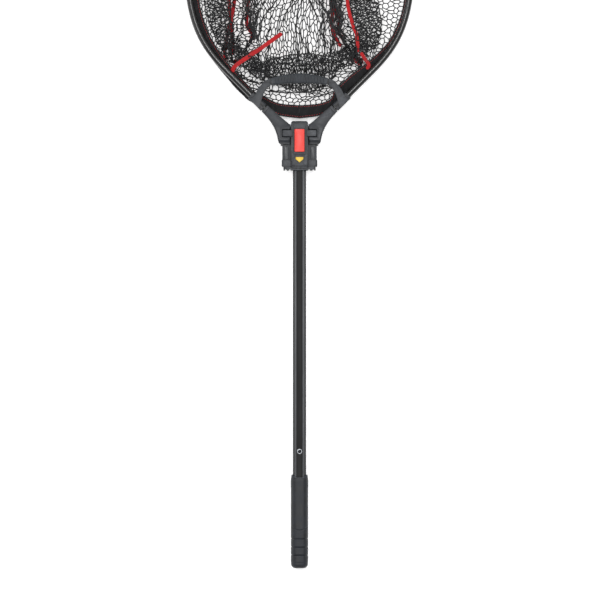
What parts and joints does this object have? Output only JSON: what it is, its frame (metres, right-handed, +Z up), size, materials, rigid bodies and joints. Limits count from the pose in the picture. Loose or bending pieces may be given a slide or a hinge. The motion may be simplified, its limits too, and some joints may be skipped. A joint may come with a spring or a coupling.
{
  "type": "landing net",
  "caption": "Landing net with a fold-over hoop head, slide-release hinge block, carry handle, crumpled mesh bag and telescopic handle with rubber grip.",
  "frame": {"origin": "on the block's underside, straight below the hinge axis of the folding head", "axes": "+Y from the grip towards the hoop along the handle, +Z up through the release button, +X to the right"},
  "size_m": [0.4174, 1.311, 0.0416],
  "materials": {
    "casing_plastic": "fine-grained slate grey moulding",
    "insert_plastic": "smooth dark inlay",
    "black_plastic": "black moulding",
    "thumb_plastic": "satin red",
    "arrow_paint": "yellow inlay",
    "tube_aluminium": "black anodised",
    "hoop_aluminium": "gloss black",
    "steel": "plain stainless",
    "bush_brass": "turned",
    "grip_rubber": "fine-grained soft rubber",
    "band_fabric": "black woven polyester with red stitching",
    "coated_mesh": "rubber-coated knotless mesh",
    "red_webbing": "red ribbed binding tape"
  },
  "bodies": {
    "block": {"front_shell": "casing_plastic", "rear_shell": "casing_plastic", "end_collar": "casing_plastic", "side_insert_right": "insert_plastic", "side_insert_left": "insert_plastic", "arrow_inlay": "arrow_paint", "hinge_pin_right": "steel", "hinge_pin_left": "steel", "return_spring": "steel", "casing_screw_1": "steel", "casing_screw_2": "steel", "casing_screw_3": "steel", "casing_screw_4": "steel", "inner_tube": "tube_aluminium", "inner_plug": "black_plastic", "tube_spigot": "black_plastic", "spigot_pin": "steel", "snap_spring": "steel"},
    "release": {"slider_plate": "casing_plastic", "thumb_button": "thumb_plastic", "latch_bolt": "steel"},
    "head": {"arm_right": "casing_plastic", "arm_left": "casing_plastic", "hinge_bush_right": "bush_brass", "hinge_bush_left": "bush_brass", "strike_pin": "steel", "socket_right": "casing_plastic", "socket_left": "casing_plastic", "socket_clip_right": "black_plastic", "socket_clip_left": "black_plastic", "socket_screw_right": "steel", "socket_screw_left": "steel", "carry_handle": "casing_plastic", "handle_sleeve": "grip_rubber", "hoop_tube_right": "hoop_aluminium", "hoop_tube_left": "hoop_aluminium", "hoop_ferrule": "black_plastic", "rim_band": "band_fabric", "net_bag": "coated_mesh"},
    "handle": {"outer_tube": "tube_aluminium", "tube_bush": "black_plastic", "button_eyelet": "steel", "grip": "grip_rubber", "end_cap": "grip_rubber"},
    "snap": {"snap_button": "steel"}
  },
  "joints": [
    {"name": "head_fold", "type": "hinge", "parent": "block", "child": "head", "pos_m": [0, 0, 0.034], "axis": [1, 0, 0], "range_deg": [0, 180]},
    {"name": "handle_extend", "type": "slide", "parent": "block", "child": "handle", "axis": [0, -1, 0], "range_m": [0, 0.53]},
    {"name": "release_slide", "type": "slide", "parent": "block", "child": "release", "axis": [0, -1, 0], "range_m": [0, 0.005], "stiffness_N_per_m": 600, "springref_m": -0.005, "deforming": ["return_spring"]},
    {"name": "snap_press", "type": "slide", "parent": "block", "child": "snap", "axis": [0, 0, -1], "range_m": [0, 0.003], "stiffness_N_per_m": 800, "springref_m": -0.002, "deforming": ["snap_spring"]}
  ]
}
